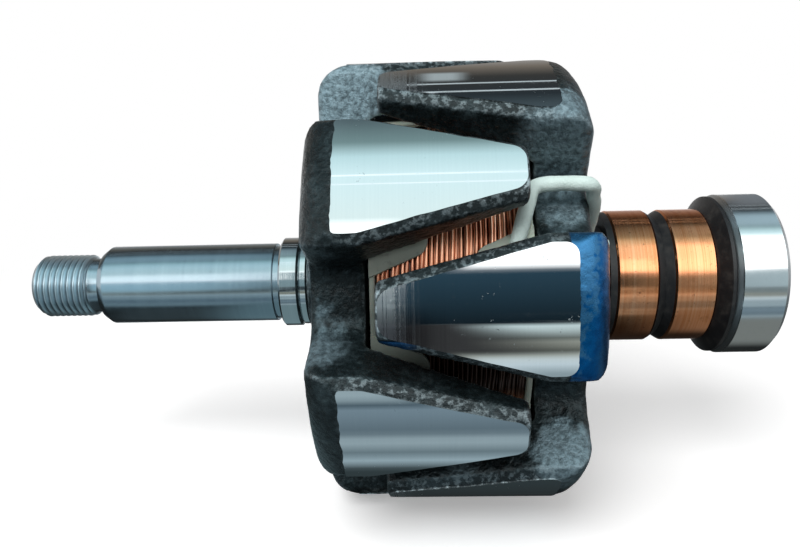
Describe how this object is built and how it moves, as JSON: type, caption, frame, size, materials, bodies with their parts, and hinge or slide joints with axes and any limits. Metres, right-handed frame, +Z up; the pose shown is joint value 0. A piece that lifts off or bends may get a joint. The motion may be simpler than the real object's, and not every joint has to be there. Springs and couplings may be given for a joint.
{
  "type": "alternator rotor",
  "caption": "Claw-pole alternator rotor: interlocking forged pole fingers around a copper field coil, with a threaded drive shaft, copper slip rings and a rear ball bearing.",
  "frame": {"origin": "on the shaft axis at the inner end of the ground drive seat", "axes": "+X along the shaft from the threaded drive end to the slip rings and rear bearing, +Z up as it lies on a finger of each pole"},
  "size_m": [0.1839, 0.108, 0.108],
  "materials": {
    "ground_steel": "ground",
    "forged_steel": "black forged scale, outer faces ground",
    "bobbin_nylon": "matt",
    "winding_copper": "enamelled wire",
    "moulded_hub": "moulded",
    "ring_copper": "turned and polished",
    "bearing_steel": "ground and polished",
    "seal_rubber": "matt",
    "lead_sleeving": "varnished fibre sleeve"
  },
  "bodies": {
    "rotor": {"shaft": "ground_steel", "drive_end_spacer_collar": "ground_steel", "drive_end_washer": "ground_steel", "drive_end_claw_pole": "forged_steel", "slip_ring_end_claw_pole": "forged_steel", "pole_core": "forged_steel", "drive_end_bobbin_half": "bobbin_nylon", "slip_ring_end_bobbin_half": "bobbin_nylon", "field_coil": "winding_copper", "slip_ring_hub": "moulded_hub", "inner_slip_ring": "ring_copper", "outer_slip_ring": "ring_copper", "dust_collar": "moulded_hub", "bearing_inner_ring": "bearing_steel", "front_lead_sleeve": "lead_sleeving", "rear_lead_sleeve": "lead_sleeving"},
    "bearing_outer": {"bearing_outer_ring": "bearing_steel", "bearing_inboard_seal": "seal_rubber", "bearing_outboard_seal": "seal_rubber"}
  },
  "joints": [
    {"name": "bearing_spin", "type": "hinge", "parent": "rotor", "child": "bearing_outer", "pos_m": [0.1157, 0, 0], "axis": [1, 0, 0], "continuous": true}
  ]
}
